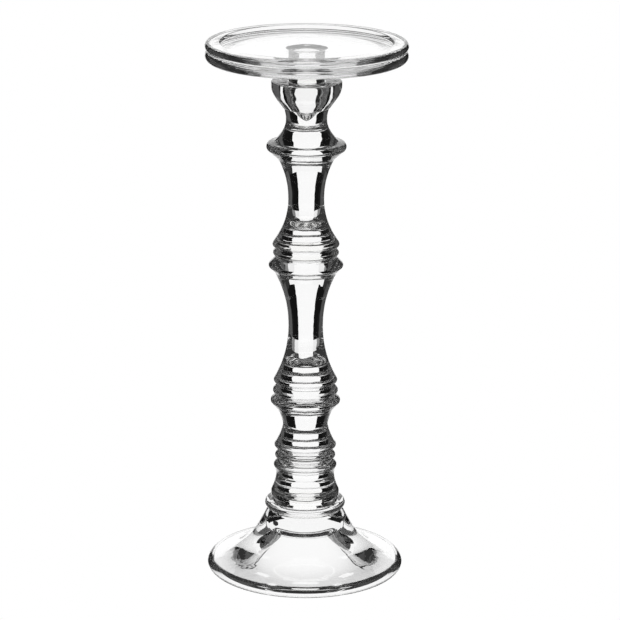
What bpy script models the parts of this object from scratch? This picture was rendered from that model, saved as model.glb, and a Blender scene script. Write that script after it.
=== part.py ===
"""Tall pressed-glass candlestick: a double-bead pillar plate whose spigot plugs the taper socket of
the upper stem, a lower stem and a bell foot, bonded with clear adhesive. Blender 4.5, metres, +Z up.

The origin is on the axis, level with the foot's bottom rim. Heights and radii are in millimetres
until turned() scales them. A profile is a list of (radius, height) points."""

import math

import bpy

MM = 0.001
GAP = 0.3                    # clearance between neighbouring pieces
SIDES = 32                   # faces round a turned piece
SHORTEST_EDGE = 0.02         # points of a profile closer than this are one point

# Joints, from the table up
SEAT_FLOOR_Z = 41.0          # the lower stem's spigot stands in the foot's socket
STEM_JOINT_Z = 199.5         # the lower stem's top face
CUP_TOP_Z = 308.4            # the plate's hub stands above it
BOND_THICKNESS = 0.4
BOND_POCKET = BOND_THICKNESS + GAP

# Plate
PLATE_RADIUS = 61.0
UPPER_BEAD_RADIUS = 2.6      # the rim's two stacked beads
LOWER_BEAD_RADIUS = 3.3
UPPER_BEAD_Z = 329.9
LOWER_BEAD_Z = 324.25
UNDERSIDE_STEP = 1.2         # how far the underside lies above the lower bead's bottom
WELL_RADIUS = 52.2
WELL_DEPTH = 2.6
HUB_RADIUS = 10.9
SPIGOT_RADIUS = 9.9          # the plug under the hub
SPIGOT_BOTTOM_Z = 305.8

# Foot
FOOT_RADIUS = 60.8
FOOT_EDGE_Z = 6.5
STANDING_RIM_INNER_RADIUS = 56.5
HOLLOW_TOP_Z = 23.6
SEAT_RADIUS = 20.2
COLLAR_RADIUS = 24.9
COLLAR_TOP_Z = 43.7

# Stems
CUP_RADIUS = 21.4
SOCKET_RADIUS = 10.4         # the taper socket inside the cup
SOCKET_BOTTOM_Z = 285.0
MOUTH_RADIUS = 11.0          # the wider step at the socket's mouth
MOUTH_FLOOR_Z = 306.2
KNOB_RADIUS = 24.3
UPPER_WAIST = (10.95, 236.0)
LOWER_WAIST = (10.6, 156.0)
SHORT_WAIST = (13.9, 92.6)
MIDDLE_COLLAR_RADIUS = 22.8
LOWEST_RING_RADIUS = 21.1


def clear_material(name, colour, roughness):
    """A clear Principled material: pressed glass, or cured adhesive."""
    material = bpy.data.materials.new(name)
    material.use_nodes = True
    shader = material.node_tree.nodes["Principled BSDF"]
    shader.inputs["Base Color"].default_value = (*colour, 1.0)
    shader.inputs["Roughness"].default_value = roughness
    shader.inputs["Metallic"].default_value = 0.0
    shader.inputs["IOR"].default_value = 1.5
    shader.inputs["Transmission Weight"].default_value = 1.0
    return material


def arc(centre, radius, start_deg, end_deg, count):
    """A round stretch. 0 degrees points outwards from the axis and 90 degrees points up."""
    points = []
    for i in range(count + 1):
        angle = math.radians(start_deg + (end_deg - start_deg) * i / count)
        points.append((centre[0] + radius * math.cos(angle), centre[1] + radius * math.sin(angle)))
    return points


def ring(crest_radius, crest_z, radius, top_deg, bottom_deg, count=4):
    """The rounded edge of a ring, listed from its top down."""
    return arc((crest_radius - radius, crest_z), radius, top_deg, -bottom_deg, count)


def flare(waist, end, power, count):
    """A concave sweep from a waist to an end, upright at the waist."""
    points = []
    for i in range(count + 1):
        t = i / count
        points.append((waist[0] + (end[0] - waist[0]) * t ** power, waist[1] + (end[1] - waist[1]) * t))
    return points


def neck(top, waist, bottom, power, count):
    """A waisted neck, listed from its top down."""
    return flare(waist, top, power, count)[::-1] + flare(waist, bottom, power, count)[1:]


def bezier(start, handle_1, handle_2, end, count):
    points = []
    for i in range(count + 1):
        t = i / count
        s = 1.0 - t
        weights = (s ** 3, 3 * s * s * t, 3 * s * t * t, t ** 3)
        corners = (start, handle_1, handle_2, end)
        points.append(tuple(sum(w * c[k] for w, c in zip(weights, corners)) for k in (0, 1)))
    return points


def without_repeats(profile):
    kept = [profile[0]]
    for point in profile[1:]:
        if math.dist(point, kept[-1]) > SHORTEST_EDGE:
            kept.append(point)
    return kept


def add_turn(piece):
    screw = piece.modifiers.new("Turn", "SCREW")
    screw.axis = "Z"
    screw.angle = math.tau
    screw.steps = SIDES
    screw.render_steps = SIDES
    screw.use_merge_vertices = True
    screw.merge_threshold = 0.00001
    screw.use_smooth_shade = True


def turned(name, profile, collection, material):
    """A solid of revolution. The profile runs down the outer side, from the axis to the axis."""
    points = without_repeats(profile)
    mesh = bpy.data.meshes.new(name)
    mesh.from_pydata([(r * MM, 0.0, z * MM) for r, z in points],
                     [(i, i + 1) for i in range(len(points) - 1)], [])
    mesh.materials.append(material)
    piece = bpy.data.objects.new(name, mesh)
    collection.objects.link(piece)
    add_turn(piece)
    return piece


def bond_disc(name, radius, bottom_z, collection, material):
    """A film of cured adhesive that lies between two glass faces."""
    top_z = bottom_z + BOND_THICKNESS
    return turned(name, [(0.0, top_z), (radius, top_z), (radius, bottom_z), (0.0, bottom_z)],
                  collection, material)


def bond_ring(name, inner_radius, outer_radius, bottom_z, top_z, collection, material):
    """A ring of cured adhesive round a spigot. Its profile is a closed loop, clear of the axis."""
    mesh = bpy.data.meshes.new(name)
    corners = [(inner_radius, top_z), (outer_radius, top_z), (outer_radius, bottom_z),
               (inner_radius, bottom_z)]
    mesh.from_pydata([(r * MM, 0.0, z * MM) for r, z in corners], [(0, 1), (1, 2), (2, 3), (3, 0)], [])
    mesh.materials.append(material)
    piece = bpy.data.objects.new(name, mesh)
    collection.objects.link(piece)
    add_turn(piece)
    return piece


def plate_profile():
    """The dish: a shallow well, a rim of two stacked beads, a flat underside just above the
    lower bead's bottom, and the hub and spigot under its middle."""
    upper_bead = (PLATE_RADIUS - UPPER_BEAD_RADIUS, UPPER_BEAD_Z)
    lower_bead = (PLATE_RADIUS - LOWER_BEAD_RADIUS, LOWER_BEAD_Z)
    rim_top = UPPER_BEAD_Z + UPPER_BEAD_RADIUS
    rim_bottom = LOWER_BEAD_Z - LOWER_BEAD_RADIUS
    floor = rim_top - WELL_DEPTH
    underside = rim_bottom + UNDERSIDE_STEP
    apart = UPPER_BEAD_Z - LOWER_BEAD_Z
    notch_z = (apart ** 2 + UPPER_BEAD_RADIUS ** 2 - LOWER_BEAD_RADIUS ** 2) / (2 * apart)
    upper_deg = math.degrees(math.asin(notch_z / UPPER_BEAD_RADIUS))
    lower_deg = math.degrees(math.asin((apart - notch_z) / LOWER_BEAD_RADIUS))
    hub_bottom = CUP_TOP_Z + GAP

    profile = [(0.0, floor)]
    profile += arc((WELL_RADIUS - 1.6, floor + 1.2), 1.2, -90, -20, 3)
    profile += [(WELL_RADIUS, rim_top - 0.3), (WELL_RADIUS + 0.4, rim_top)]
    profile += arc(upper_bead, UPPER_BEAD_RADIUS, 90, -upper_deg, 7)
    profile += arc(lower_bead, LOWER_BEAD_RADIUS, lower_deg, -90, 7)
    profile += bezier((57.0, rim_bottom), (52.0, rim_bottom), (48.0, underside), (42.0, underside), 4)
    profile += arc((HUB_RADIUS + 2.0, underside - 2.0), 2.0, 90, 180, 3)
    profile += [(HUB_RADIUS, hub_bottom)]
    profile += [(SPIGOT_RADIUS, hub_bottom), (SPIGOT_RADIUS, SPIGOT_BOTTOM_Z), (0.0, SPIGOT_BOTTOM_Z)]
    return profile


def upper_stem_profile():
    """The upper stem, from the bottom of its socket over the cup's lip down to the stem joint."""
    joint = STEM_JOINT_Z + GAP
    pocket_radius = 16.4
    profile = bezier((0.0, SOCKET_BOTTOM_Z), (1.2, SOCKET_BOTTOM_Z + 0.2), (5.5, 290.5),
                     (SOCKET_RADIUS, 303.0), 8)
    profile += [(SOCKET_RADIUS, MOUTH_FLOOR_Z), (MOUTH_RADIUS, MOUTH_FLOOR_Z), (MOUTH_RADIUS, CUP_TOP_Z)]
    profile += arc((CUP_RADIUS - 0.8, CUP_TOP_Z - 0.8), 0.8, 90, 0, 2)
    cup = bezier((CUP_RADIUS, 306.0), (CUP_RADIUS, 298.5), (14.6, 295.2), (11.3, 286.5), 10)
    profile += [point for point in cup if point[1] > 292.5]
    profile += neck((13.7, 292.0), (12.4, 285.0), (19.6, 271.6), 1.95, 5)
    profile += [(21.0, 271.2)]
    profile += ring(KNOB_RADIUS, 268.4, 2.7, 80, 55, 6)
    profile += [(18.0, 261.8)]
    profile += neck((17.0, 260.6), UPPER_WAIST, (19.9, 209.2), 2.15, 7)
    profile += ring(20.4, 207.7, 1.2, 35, 50)
    profile += [(18.3, 205.3)]
    profile += ring(20.1, 202.5, 1.7, 60, 60)
    profile += [(18.9, joint + 0.4), (18.6, joint)]
    profile += [(pocket_radius, joint), (pocket_radius, joint + BOND_POCKET), (0.0, joint + BOND_POCKET)]
    return profile


def lower_stem_profile():
    """The lower stem, from the stem joint down to the spigot that stands in the foot."""
    spigot_radius = SEAT_RADIUS - GAP
    spigot_bottom = SEAT_FLOOR_Z + GAP + BOND_POCKET
    profile = [(0.0, STEM_JOINT_Z), (18.6, STEM_JOINT_Z), (18.9, STEM_JOINT_Z - 0.3)]
    profile += ring(MIDDLE_COLLAR_RADIUS, 194.6, 1.5, 50, 50)
    profile += [(19.6, 190.9)]
    profile += neck((19.0, 190.0), LOWER_WAIST, (18.7, 123.3), 2.1, 8)
    profile += ring(19.6, 121.4, 1.3, 40, 50)
    profile += [(18.0, 118.5)]
    profile += ring(20.1, 114.7, 1.5, 60, 60)
    profile += [(18.5, 111.4)]
    profile += ring(21.5, 108.2, 1.5, 60, 50)
    profile += [(17.2, 102.8)]
    profile += neck((16.6, 101.6), SHORT_WAIST, (18.2, 80.8), 1.5, 4)
    profile += ring(19.1, 79.3, 1.2, 50, 50)
    profile += [(16.9, 75.6)]
    profile += ring(18.7, 72.6, 1.3, 60, 60)
    profile += [(17.1, 69.5)]
    profile += ring(19.5, 66.2, 1.4, 60, 60)
    profile += flare((18.0, 61.0), (LOWEST_RING_RADIUS - 0.2, 50.0), 1.8, 4)
    profile += [(LOWEST_RING_RADIUS, 49.3), (LOWEST_RING_RADIUS, 46.6)]
    profile += [(spigot_radius, 44.9), (spigot_radius, spigot_bottom), (0.0, spigot_bottom)]
    return profile


def foot_profile():
    """The foot: a socket in a rounded collar, and a hollow bell that spreads to a thick edge."""
    profile = [(0.0, SEAT_FLOOR_Z), (SEAT_RADIUS, SEAT_FLOOR_Z), (SEAT_RADIUS, COLLAR_TOP_Z - 0.4)]
    profile += ring(COLLAR_RADIUS, COLLAR_TOP_Z - 2.3, 2.3, 110, 60, 6)
    profile += bezier((22.9, 38.0), (28.6, 28.5), (32.0, 12.2), (57.0, FOOT_EDGE_Z), 12)
    profile += bezier((57.0, FOOT_EDGE_Z), (58.6, 6.1), (60.2, 5.0), (FOOT_RADIUS, 3.0), 4)[1:]
    profile += bezier((FOOT_RADIUS, 3.0), (60.9, 1.8), (60.0, 0.2), (58.6, 0.0), 4)[1:]
    profile += [(STANDING_RIM_INNER_RADIUS, 0.0)]
    profile += bezier((55.9, 1.6), (34.0, 3.4), (23.0, 8.0), (17.0, 22.0), 10)
    profile += [(13.0, HOLLOW_TOP_Z), (0.0, HOLLOW_TOP_Z)]
    return profile


def build():
    for old in list(bpy.data.objects):
        bpy.data.objects.remove(old, do_unlink=True)
    parts = bpy.data.collections.new("glass_candlestick")
    bpy.context.scene.collection.children.link(parts)

    glass_tint = (0.98, 0.99, 0.985)
    adhesive_tint = (0.97, 0.97, 0.96)

    turned("pillar_plate", plate_profile(), parts, clear_material("plate_glass", glass_tint, 0.02))
    turned("upper_stem", upper_stem_profile(), parts, clear_material("upper_stem_glass", glass_tint, 0.02))
    turned("lower_stem", lower_stem_profile(), parts, clear_material("lower_stem_glass", glass_tint, 0.02))
    turned("foot", foot_profile(), parts, clear_material("foot_glass", glass_tint, 0.02))

    bond_ring("plate_bond", SPIGOT_RADIUS + GAP, MOUTH_RADIUS - GAP, MOUTH_FLOOR_Z + GAP,
              CUP_TOP_Z, parts, clear_material("plate_adhesive", adhesive_tint, 0.08))
    bond_disc("stem_bond", 16.0, STEM_JOINT_Z + GAP, parts,
              clear_material("stem_adhesive", adhesive_tint, 0.08))
    bond_disc("foot_bond", 19.0, SEAT_FLOOR_Z + GAP, parts,
              clear_material("foot_adhesive", adhesive_tint, 0.08))


build()
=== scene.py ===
"""Looks of the pressed-glass candlestick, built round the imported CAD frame. Blender 4.5, metres, +Z up.

Each glass piece is one closed turned mesh. A profile is a list of (radius, height) points in
millimetres, and turned() scales it. The studio's light and dark cards are children of the camera, so
they go round the object with it, as in a turntable shoot."""

import math

import bpy
from mathutils import Matrix


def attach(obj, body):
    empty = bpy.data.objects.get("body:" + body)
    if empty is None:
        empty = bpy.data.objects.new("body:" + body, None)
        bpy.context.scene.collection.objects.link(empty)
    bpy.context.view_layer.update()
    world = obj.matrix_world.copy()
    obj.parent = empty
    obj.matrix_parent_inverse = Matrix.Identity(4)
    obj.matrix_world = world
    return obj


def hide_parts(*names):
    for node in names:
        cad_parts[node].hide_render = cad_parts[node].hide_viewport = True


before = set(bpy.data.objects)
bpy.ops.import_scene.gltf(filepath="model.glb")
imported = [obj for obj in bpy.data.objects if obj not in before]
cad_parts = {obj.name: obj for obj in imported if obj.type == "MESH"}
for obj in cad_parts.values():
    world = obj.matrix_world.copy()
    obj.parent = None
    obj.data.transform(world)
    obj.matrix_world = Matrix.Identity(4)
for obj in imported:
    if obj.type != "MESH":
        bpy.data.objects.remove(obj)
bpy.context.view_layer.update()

MM = 0.001
SEGMENTS = 288               # faces round a piece
SHORTEST_EDGE = 0.01         # points of a profile closer than this are one point
TOLERANCE = 0.01             # how far off a point may lie and still count as on a joint
SHARP_EDGE_DEG = 50          # edges that turn more than this stay sharp

# The driving numbers down to the materials are the CAD's. Joints, from the table up:
GAP = 0.3                    # clearance between neighbouring pieces
SEAT_FLOOR_Z = 41.0          # the lower stem's spigot stands in the foot's socket
SEAT_SPIGOT_TOP_Z = 44.9
STEM_JOINT_Z = 199.5         # the lower stem's top face
CUP_TOP_Z = 308.4            # the plate's hub stands above it
BOND_THICKNESS = 0.4
BOND_POCKET = BOND_THICKNESS + GAP

# Plate
PLATE_RADIUS = 61.0
UPPER_BEAD_RADIUS = 2.6      # the rim's two stacked beads
LOWER_BEAD_RADIUS = 3.3
UPPER_BEAD_Z = 329.9
LOWER_BEAD_Z = 324.25
UNDERSIDE_STEP = 1.2         # how far the underside lies above the lower bead's bottom
WELL_RADIUS = 52.2
WELL_DEPTH = 2.6
HUB_RADIUS = 10.9
HUB_FILLET = 2.0
SPIGOT_RADIUS = 9.9          # the plug under the hub
SPIGOT_BOTTOM_Z = 305.8

# Foot
FOOT_RADIUS = 60.8
FOOT_EDGE_Z = 6.5
STANDING_RIM_INNER_RADIUS = 56.5
HOLLOW_TOP_Z = 23.6
SEAT_RADIUS = 20.2
COLLAR_RADIUS = 24.9
COLLAR_TOP_Z = 43.7

# Stems
CUP_RADIUS = 21.4
SOCKET_RADIUS = 10.4         # the taper socket inside the cup
SOCKET_BOTTOM_Z = 285.0
MOUTH_RADIUS = 11.0          # the wider step at the socket's mouth
MOUTH_FLOOR_Z = 306.2
KNOB_RADIUS = 24.3
UPPER_WAIST = (10.95, 236.0)
LOWER_WAIST = (10.6, 156.0)
SHORT_WAIST = (13.9, 92.6)
MIDDLE_COLLAR_RADIUS = 22.8
LOWEST_RING_RADIUS = 21.1
STEM_END_RADIUS = 18.6       # both stems' end faces at the joint

# Materials
GLASS_IOR = 1.5
BONDED_IOR = 1.0             # glass against cured adhesive shows no surface
STEM_WAVE = 0.0003           # depth of the glass's waviness, in metres
PLATE_WAVE = 0.00005
WAVE_SCALE = 90.0
WHITE = (1.0, 1.0, 1.0)
ADHESIVE_TINT = (0.985, 0.985, 0.975)


# ---------------------------------------------------------------- profile helpers
def arc(centre, radius, start_deg, end_deg, count):
    points = []
    for i in range(count + 1):
        angle = math.radians(start_deg + (end_deg - start_deg) * i / count)
        points.append((centre[0] + radius * math.cos(angle), centre[1] + radius * math.sin(angle)))
    return points


def ring(crest_radius, crest_z, radius, top_deg, bottom_deg, count=14):
    """A rounded bead, from top_deg above its crest to bottom_deg below it."""
    return arc((crest_radius - radius, crest_z), radius, top_deg, -bottom_deg, count)


def flare(waist, end, power, count):
    """A side that widens from a waist to an end, faster with a higher power."""
    points = []
    for i in range(count + 1):
        t = i / count
        points.append((waist[0] + (end[0] - waist[0]) * t ** power, waist[1] + (end[1] - waist[1]) * t))
    return points


def neck(top, waist, bottom, power, count=28):
    """A waisted side from its top, through the waist, to its bottom."""
    return flare(waist, top, power, count)[::-1] + flare(waist, bottom, power, count)[1:]


def bezier(start, handle_1, handle_2, end, count):
    points = []
    for i in range(count + 1):
        t = i / count
        s = 1.0 - t
        weights = (s ** 3, 3 * s * s * t, 3 * s * t * t, t ** 3)
        corners = (start, handle_1, handle_2, end)
        points.append(tuple(sum(w * c[k] for w, c in zip(weights, corners)) for k in (0, 1)))
    return points


def line(start, end, count):
    return [(start[0] + (end[0] - start[0]) * i / count, start[1] + (end[1] - start[1]) * i / count)
            for i in range(count + 1)]


# ---------------------------------------------------------------- mesh helpers
def turned(name, profile, joints=()):
    """A closed solid of revolution. A face takes the second material where both ends of its stretch of
    the profile lie in one of the joints, given as (low z, high z, outer radius)."""
    points = [profile[0]]
    for p in profile[1:]:
        if math.dist(p, points[-1]) > SHORTEST_EDGE:
            points.append(p)
    if points[0][0] > 1e-6 or points[-1][0] > 1e-6:
        raise ValueError(name + ": a turned piece starts and ends on the axis")
    rows = points[1:-1]
    verts = [(0.0, 0.0, points[0][1] * MM)]
    for r, z in rows:
        for s in range(SEGMENTS):
            azimuth = math.tau * s / SEGMENTS
            verts.append((r * MM * math.sin(azimuth), -r * MM * math.cos(azimuth), z * MM))
    verts.append((0.0, 0.0, points[-1][1] * MM))
    last = len(verts) - 1
    faces, joint_faces = [], []

    def at_joint(i, j):
        ends = (points[i], points[j])
        return any(all(low <= z <= high and r <= outer for r, z in ends) for low, high, outer in joints)

    def add(face, i, j):
        if at_joint(i, j):
            joint_faces.append(len(faces))
        faces.append(face)

    for s in range(SEGMENTS):
        t = (s + 1) % SEGMENTS
        add((0, 1 + s, 1 + t), 0, 1)
        for k in range(len(rows) - 1):
            a, b = 1 + k * SEGMENTS, 1 + (k + 1) * SEGMENTS
            add((a + s, b + s, b + t, a + t), k + 1, k + 2)
        a = 1 + (len(rows) - 1) * SEGMENTS
        add((a + s, last, a + t), len(rows), len(rows) + 1)
    mesh = bpy.data.meshes.new(name)
    mesh.from_pydata(verts, [], faces)
    mesh.polygons.foreach_set("use_smooth", [True] * len(mesh.polygons))
    mesh.set_sharp_from_angle(angle=math.radians(SHARP_EDGE_DEG))
    obj = bpy.data.objects.new(name, mesh)
    bpy.context.scene.collection.objects.link(obj)
    for i in joint_faces:
        mesh.polygons[i].material_index = 1
    mesh.update()
    return obj


# ---------------------------------------------------------------- profiles
def plate_profile():
    """The dish: a shallow well, a rim of two stacked beads, a nearly flat underside, and the hub and
    spigot under its middle."""
    upper_bead = (PLATE_RADIUS - UPPER_BEAD_RADIUS, UPPER_BEAD_Z)
    lower_bead = (PLATE_RADIUS - LOWER_BEAD_RADIUS, LOWER_BEAD_Z)
    rim_top = UPPER_BEAD_Z + UPPER_BEAD_RADIUS
    rim_bottom = LOWER_BEAD_Z - LOWER_BEAD_RADIUS
    floor = rim_top - WELL_DEPTH
    underside = rim_bottom + UNDERSIDE_STEP
    apart = UPPER_BEAD_Z - LOWER_BEAD_Z
    notch_z = (apart ** 2 + UPPER_BEAD_RADIUS ** 2 - LOWER_BEAD_RADIUS ** 2) / (2 * apart)
    upper_deg = math.degrees(math.asin(notch_z / UPPER_BEAD_RADIUS))
    lower_deg = math.degrees(math.asin((apart - notch_z) / LOWER_BEAD_RADIUS))
    hub_bottom = CUP_TOP_Z + GAP
    profile = line((0.0, floor), (WELL_RADIUS - 1.6, floor), 24)
    profile += arc((WELL_RADIUS - 1.6, floor + 1.2), 1.2, -90, -20, 10)
    profile += [(WELL_RADIUS, rim_top - 0.3), (WELL_RADIUS + 0.4, rim_top)]
    profile += line((WELL_RADIUS + 0.8, rim_top), (upper_bead[0] - 0.4, rim_top), 4)
    profile += arc(upper_bead, UPPER_BEAD_RADIUS, 90, -upper_deg, 28)
    profile += arc(lower_bead, LOWER_BEAD_RADIUS, lower_deg, -90, 28)
    profile += bezier((57.0, rim_bottom), (52.0, rim_bottom), (48.0, underside), (42.0, underside), 24)
    profile += line((41.0, underside), (HUB_RADIUS + 2.6, underside), 12)
    profile += arc((HUB_RADIUS + HUB_FILLET, underside - HUB_FILLET), HUB_FILLET, 90, 180, 12)
    profile += [(HUB_RADIUS, hub_bottom), (SPIGOT_RADIUS, hub_bottom)]
    profile += [(SPIGOT_RADIUS, SPIGOT_BOTTOM_Z + 0.3), (SPIGOT_RADIUS - 0.3, SPIGOT_BOTTOM_Z)]
    profile += [(0.0, SPIGOT_BOTTOM_Z)]
    return profile


def upper_stem_profile():
    """The cup with its hollow conical socket, the knob, the long neck and two rings."""
    joint = STEM_JOINT_Z + GAP
    pocket_radius = 16.4
    profile = bezier((0.0, SOCKET_BOTTOM_Z), (1.2, SOCKET_BOTTOM_Z + 0.2), (5.5, 290.5),
                     (SOCKET_RADIUS, 303.0), 36)
    profile += line((SOCKET_RADIUS, 303.5), (SOCKET_RADIUS, MOUTH_FLOOR_Z - 0.4), 3)
    profile += [(SOCKET_RADIUS + 0.1, MOUTH_FLOOR_Z), (MOUTH_RADIUS - 0.1, MOUTH_FLOOR_Z + 0.05)]
    profile += [(MOUTH_RADIUS, MOUTH_FLOOR_Z + 0.3)]
    profile += [(MOUTH_RADIUS, CUP_TOP_Z - 0.3), (MOUTH_RADIUS + 0.3, CUP_TOP_Z)]
    profile += line((MOUTH_RADIUS + 0.7, CUP_TOP_Z), (CUP_RADIUS - 1.2, CUP_TOP_Z), 6)
    profile += arc((CUP_RADIUS - 0.6, CUP_TOP_Z - 0.6), 0.6, 90, 0, 8)
    cup = bezier((CUP_RADIUS, 306.0), (CUP_RADIUS, 298.5), (14.6, 295.2), (11.3, 286.5), 60)
    profile += [point for point in cup if point[1] > 292.2]
    profile += neck((13.7, 292.0), (12.4, 285.0), (19.6, 271.6), 1.95)
    profile += [(21.0, 271.2)]
    profile += ring(KNOB_RADIUS, 268.4, 2.7, 80, 55, 22)
    profile += [(18.0, 261.8)]
    profile += neck((17.0, 260.6), UPPER_WAIST, (19.9, 209.2), 2.15, 36)
    profile += ring(20.4, 207.7, 1.2, 35, 50)
    profile += [(18.3, 205.3)]
    profile += ring(20.1, 202.5, 1.7, 60, 60)
    profile += [(18.9, joint + 0.4), (STEM_END_RADIUS, joint)]
    profile += [(pocket_radius, joint), (pocket_radius, joint + BOND_POCKET), (0.0, joint + BOND_POCKET)]
    return profile


def lower_stem_profile():
    """Solid glass: the middle collar, the long neck, six rings, the lowest ring and the spigot."""
    spigot_radius = SEAT_RADIUS - GAP
    spigot_bottom = SEAT_FLOOR_Z + GAP + BOND_POCKET
    profile = [(0.0, STEM_JOINT_Z), (STEM_END_RADIUS, STEM_JOINT_Z), (18.9, STEM_JOINT_Z - 0.3)]
    profile += ring(MIDDLE_COLLAR_RADIUS, 194.6, 1.5, 50, 50)
    profile += [(19.6, 190.9)]
    profile += neck((19.0, 190.0), LOWER_WAIST, (18.7, 123.3), 2.1, 40)
    profile += ring(19.6, 121.4, 1.3, 40, 50)
    profile += [(18.0, 118.5)]
    profile += ring(20.1, 114.7, 1.5, 60, 60)
    profile += [(18.5, 111.4)]
    profile += ring(21.5, 108.2, 1.5, 60, 50)
    profile += [(17.2, 102.8)]
    profile += neck((16.6, 101.6), SHORT_WAIST, (18.2, 80.8), 1.5, 24)
    profile += ring(19.1, 79.3, 1.2, 50, 50)
    profile += [(16.9, 75.6)]
    profile += ring(18.7, 72.6, 1.3, 60, 60)
    profile += [(17.1, 69.5)]
    profile += ring(19.5, 66.2, 1.4, 60, 60)
    profile += flare((18.0, 61.0), (LOWEST_RING_RADIUS - 0.2, 50.0), 1.8, 20)
    profile += [(LOWEST_RING_RADIUS, 49.3), (LOWEST_RING_RADIUS, 46.6)]
    profile += [(spigot_radius, SEAT_SPIGOT_TOP_Z), (spigot_radius, spigot_bottom), (0.0, spigot_bottom)]
    return profile


def foot_profile():
    """The collar with its socket, and the hollow bell that spreads to a rounded edge."""
    profile = [(0.0, SEAT_FLOOR_Z), (SEAT_RADIUS, SEAT_FLOOR_Z), (SEAT_RADIUS, COLLAR_TOP_Z - 0.4)]
    profile += ring(COLLAR_RADIUS, COLLAR_TOP_Z - 2.3, 2.3, 110, 60, 20)
    profile += bezier((22.9, 38.0), (28.6, 28.5), (32.0, 12.2), (57.0, FOOT_EDGE_Z), 60)
    profile += bezier((57.0, FOOT_EDGE_Z), (58.6, 6.1), (60.2, 5.0), (FOOT_RADIUS, 3.0), 16)[1:]
    profile += bezier((FOOT_RADIUS, 3.0), (60.9, 1.8), (60.0, 0.2), (58.6, 0.0), 10)[1:]
    profile += [(STANDING_RIM_INNER_RADIUS, 0.0)]
    profile += bezier((55.9, 1.6), (34.0, 3.4), (23.0, 8.0), (17.0, 22.0), 50)
    profile += bezier((17.0, 22.0), (15.0, 23.4), (13.0, HOLLOW_TOP_Z), (10.0, HOLLOW_TOP_Z), 10)[1:]
    profile += [(0.0, HOLLOW_TOP_Z)]
    return profile


# ---------------------------------------------------------------- materials
def glass(name, tint, ior, wave=0.0):
    """A clear Principled material. wave is the depth of its waviness, in metres."""
    material = bpy.data.materials.new(name)
    material.use_nodes = True
    nodes, links = material.node_tree.nodes, material.node_tree.links
    shader = nodes["Principled BSDF"]
    shader.inputs["Base Color"].default_value = (*tint, 1.0)
    shader.inputs["Roughness"].default_value = 0.0
    shader.inputs["IOR"].default_value = ior
    shader.inputs["Transmission Weight"].default_value = 1.0
    if wave:
        where = nodes.new("ShaderNodeTexCoord")
        noise = nodes.new("ShaderNodeTexNoise")
        noise.inputs["Scale"].default_value = WAVE_SCALE
        noise.inputs["Detail"].default_value = 2.0
        bump = nodes.new("ShaderNodeBump")
        bump.inputs["Strength"].default_value = 1.0
        bump.inputs["Distance"].default_value = wave
        links.new(where.outputs["Object"], noise.inputs["Vector"])
        links.new(noise.outputs["Fac"], bump.inputs["Height"])
        links.new(bump.outputs["Normal"], shader.inputs["Normal"])
    return material


def dress(piece, materials, node):
    for material in materials:
        piece.data.materials.append(material)
    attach(piece, "root")
    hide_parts(node)


stem_clear = glass("pressed_glass", WHITE, GLASS_IOR, STEM_WAVE)
plate_clear = glass("polished_plate_glass", WHITE, GLASS_IOR, PLATE_WAVE)
joint_face = glass("bonded_face", WHITE, BONDED_IOR)
adhesive = glass("cured_adhesive", ADHESIVE_TINT, BONDED_IOR)

plate = turned("plate_glass_mesh", plate_profile())
upper = turned("upper_stem_mesh", upper_stem_profile(),
               joints=((STEM_JOINT_Z, STEM_JOINT_Z + GAP + BOND_POCKET + TOLERANCE,
                        STEM_END_RADIUS + TOLERANCE),))
lower = turned("lower_stem_mesh", lower_stem_profile(),
               joints=((STEM_JOINT_Z - TOLERANCE, STEM_JOINT_Z + TOLERANCE, STEM_END_RADIUS + TOLERANCE),
                       (SEAT_FLOOR_Z, SEAT_SPIGOT_TOP_Z + TOLERANCE, SEAT_RADIUS)))
foot = turned("foot_mesh", foot_profile(),
              joints=((SEAT_FLOOR_Z - TOLERANCE, COLLAR_TOP_Z, SEAT_RADIUS + TOLERANCE),))
dress(plate, (plate_clear, joint_face), "pillar_plate")
dress(upper, (stem_clear, joint_face), "upper_stem")
dress(lower, (stem_clear, joint_face), "lower_stem")
dress(foot, (plate_clear, joint_face), "foot")

for node in ("plate_bond", "stem_bond", "foot_bond"):
    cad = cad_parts[node]
    cad.data.materials.clear()
    cad.data.materials.append(adhesive)

# ---------------------------------------------------------------- camera
CAMERA_PLACE = (0.0026, -1.6834, 0.6556)
PITCH_DEG = 16.23            # how far the camera looks down
ROLL_DEG = 0.26
LENS_MM = 166.26
SENSOR_MM = 36.0

camera_data = bpy.data.cameras.new("camera")
camera_data.lens = LENS_MM
camera_data.sensor_width = SENSOR_MM
camera_data.clip_start = 0.05
camera_data.clip_end = 100.0
camera = bpy.data.objects.new("camera", camera_data)
bpy.context.scene.collection.objects.link(camera)
camera.location = CAMERA_PLACE
camera.matrix_world = (Matrix.Translation(camera.location)
                       @ Matrix.Rotation(math.radians(90 - PITCH_DEG), 4, "X")
                       @ Matrix.Rotation(math.radians(ROLL_DEG), 4, "Z"))
bpy.context.scene.camera = camera

# ---------------------------------------------------------------- studio
CARD_CENTRE = (0.0, 0.0, 0.17)
CARD_DISTANCE = 3.0
FLAG_DISTANCE = 2.8          # the dark flags stand in front of the other cards
CARD_STEPS = 12              # faces along each side of a card
FLOOR_HALF_WIDTH = 40.0
FLOOR_Z = -0.0006            # just under the foot, so that the two never share a plane
SURROUND = 0.03              # how bright the dim room round the cards is


def emission(name, strength):
    """A plain white light of one strength."""
    material = bpy.data.materials.new(name)
    material.use_nodes = True
    nodes, links = material.node_tree.nodes, material.node_tree.links
    nodes.clear()
    output = nodes.new("ShaderNodeOutputMaterial")
    light = nodes.new("ShaderNodeEmission")
    light.inputs["Strength"].default_value = strength
    links.new(light.outputs["Emission"], output.inputs["Surface"])
    return material


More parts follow.
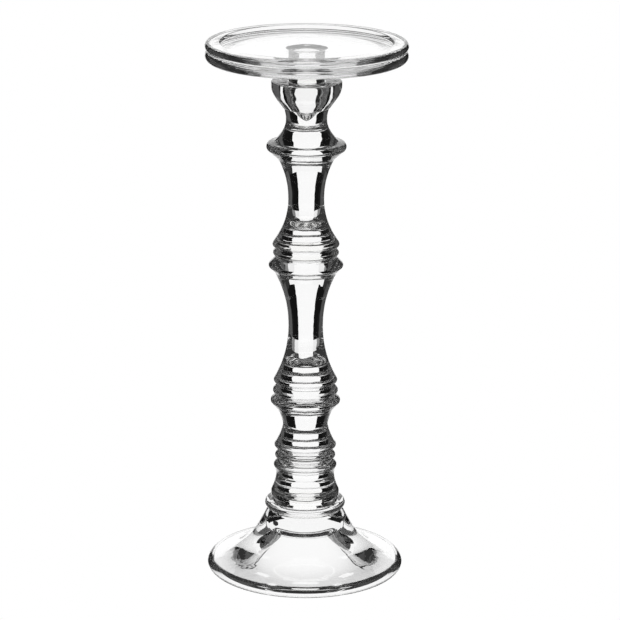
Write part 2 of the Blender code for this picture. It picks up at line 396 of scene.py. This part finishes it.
def card(name, azimuth, elevation, strength, distance=CARD_DISTANCE):
    """A curved card that spans two azimuths and two elevations, in degrees, as the object sees them.
    Azimuth 0 is straight behind the object. Only rays that the glass bends or mirrors see the card. It
    is a child of the camera, so it keeps its place relative to the camera in every view."""
    verts, faces = [], []
    for i in range(CARD_STEPS + 1):
        e = math.radians(elevation[0] + (elevation[1] - elevation[0]) * i / CARD_STEPS)
        for j in range(CARD_STEPS + 1):
            a = math.radians(azimuth[0] + (azimuth[1] - azimuth[0]) * j / CARD_STEPS)
            verts.append((CARD_CENTRE[0] + distance * math.cos(e) * math.sin(a),
                          CARD_CENTRE[1] + distance * math.cos(e) * math.cos(a),
                          CARD_CENTRE[2] + distance * math.sin(e)))
    for i in range(CARD_STEPS):
        for j in range(CARD_STEPS):
            k = i * (CARD_STEPS + 1) + j
            faces.append((k, k + 1, k + CARD_STEPS + 2, k + CARD_STEPS + 1))
    mesh = bpy.data.meshes.new(name)
    mesh.from_pydata(verts, [], faces)
    mesh.materials.append(emission(name, strength))
    obj = bpy.data.objects.new(name, mesh)
    bpy.context.scene.collection.objects.link(obj)
    obj.visible_camera = False
    obj.visible_shadow = False
    bpy.context.view_layer.update()
    obj.parent = camera
    obj.matrix_parent_inverse = camera.matrix_world.inverted()


card("backdrop_card", (-19.3, 17.3), (-46, 14), 1.03)
card("overhead_card", (-29, 26), (14, 34), 1.0)
card("left_flag", (-40, -19.3), (-26, 14), 0.004, FLAG_DISTANCE)
card("right_flag", (17.3, 38), (-26, 14), 0.004, FLAG_DISTANCE)
card("left_sweep", (-31, -19.3), (-38, -26), 0.9)
card("right_sweep", (17.3, 29), (-40, -26), 0.9)
card("left_far_sweep", (-44, -31), (-38, -26), 0.25)
card("right_far_sweep", (29, 42), (-40, -26), 0.25)
card("left_side_card", (-95, -42), (-26, 22), 0.075)
card("right_side_card", (40, 95), (-26, 22), 0.10)
card("under_card", (-180, 180), (-90, -64), 1.0)

# Only the camera sees the floor, so the glass takes no light from it
corners = ((-1, -1), (1, -1), (1, 1), (-1, 1))
floor_mesh = bpy.data.meshes.new("floor")
floor_mesh.from_pydata([(x * FLOOR_HALF_WIDTH, y * FLOOR_HALF_WIDTH, FLOOR_Z) for x, y in corners],
                       [], [(0, 1, 2, 3)])
floor_mesh.materials.append(emission("pale_floor", 1.0))
floor = bpy.data.objects.new("floor", floor_mesh)
bpy.context.scene.collection.objects.link(floor)
floor.visible_transmission = False
floor.visible_glossy = False

# The camera sees a white world, and the glass sees a dim room
world = bpy.data.worlds.new("studio")
bpy.context.scene.world = world
world.use_nodes = True
world_nodes, world_links = world.node_tree.nodes, world.node_tree.links
room = world_nodes["Background"]
room.inputs["Color"].default_value = (SURROUND, SURROUND, SURROUND, 1)
seen = world_nodes.new("ShaderNodeBackground")
seen.inputs["Color"].default_value = (1, 1, 1, 1)
path = world_nodes.new("ShaderNodeLightPath")
mix = world_nodes.new("ShaderNodeMixShader")
world_links.new(path.outputs["Is Camera Ray"], mix.inputs["Fac"])
world_links.new(room.outputs["Background"], mix.inputs[1])
world_links.new(seen.outputs["Background"], mix.inputs[2])
world_links.new(mix.outputs["Shader"], world_nodes["World Output"].inputs["Surface"])

scene = bpy.context.scene
scene.view_settings.view_transform = "Standard"
scene.cycles.max_bounces = 32
scene.cycles.transmission_bounces = 32
scene.cycles.glossy_bounces = 16
scene.cycles.transparent_max_bounces = 32
